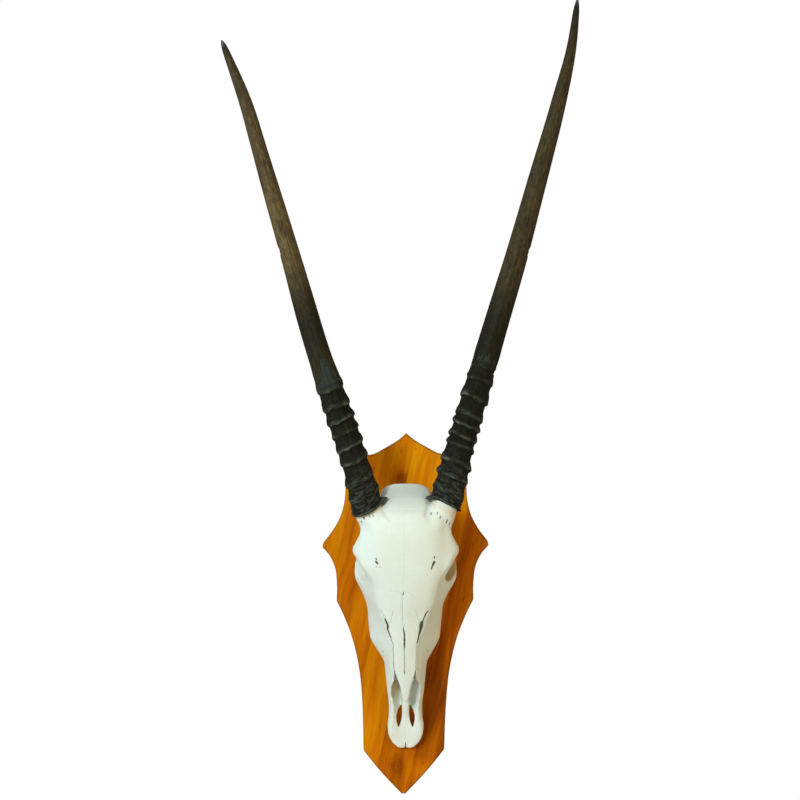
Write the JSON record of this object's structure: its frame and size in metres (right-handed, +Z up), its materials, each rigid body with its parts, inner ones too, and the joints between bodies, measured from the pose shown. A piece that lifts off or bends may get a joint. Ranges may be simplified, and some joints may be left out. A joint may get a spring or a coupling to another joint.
{
  "type": "gemsbok skull with horns on a wooden wall shield",
  "caption": "Gemsbok skull with both ringed horns and cheek teeth, fixed to a stained wooden wall shield with a keyhole hanger at its back.",
  "frame": {"origin": "on the shield's flat back face, on the middle line of the skull, between the two fixing screws", "axes": "+Z up the wall towards the horn tips, +Y into the wall, -Y is the way the skull faces, +X to the right as a viewer sees it"},
  "size_m": [0.5235, 0.1844, 1.2052],
  "materials": {
    "stained_pine": "stained and varnished",
    "bleached_bone": "dry and matt",
    "dark_horn": "ringed and fibrous",
    "tooth_enamel": "worn and satin",
    "zinc_plated_steel": "zinc plated"
  },
  "bodies": {
    "root": {"plaque": "stained_pine", "skull": "bleached_bone", "horn_left": "dark_horn", "horn_right": "dark_horn", "tooth_left_1": "tooth_enamel", "tooth_left_2": "tooth_enamel", "tooth_left_3": "tooth_enamel", "tooth_left_4": "tooth_enamel", "tooth_left_5": "tooth_enamel", "tooth_left_6": "tooth_enamel", "tooth_right_1": "tooth_enamel", "tooth_right_2": "tooth_enamel", "tooth_right_3": "tooth_enamel", "tooth_right_4": "tooth_enamel", "tooth_right_5": "tooth_enamel", "tooth_right_6": "tooth_enamel", "skull_screw_upper": "zinc_plated_steel", "skull_screw_lower": "zinc_plated_steel", "hanger_plate": "zinc_plated_steel", "hanger_screw_left": "zinc_plated_steel", "hanger_screw_right": "zinc_plated_steel"}
  },
  "joints": []
}
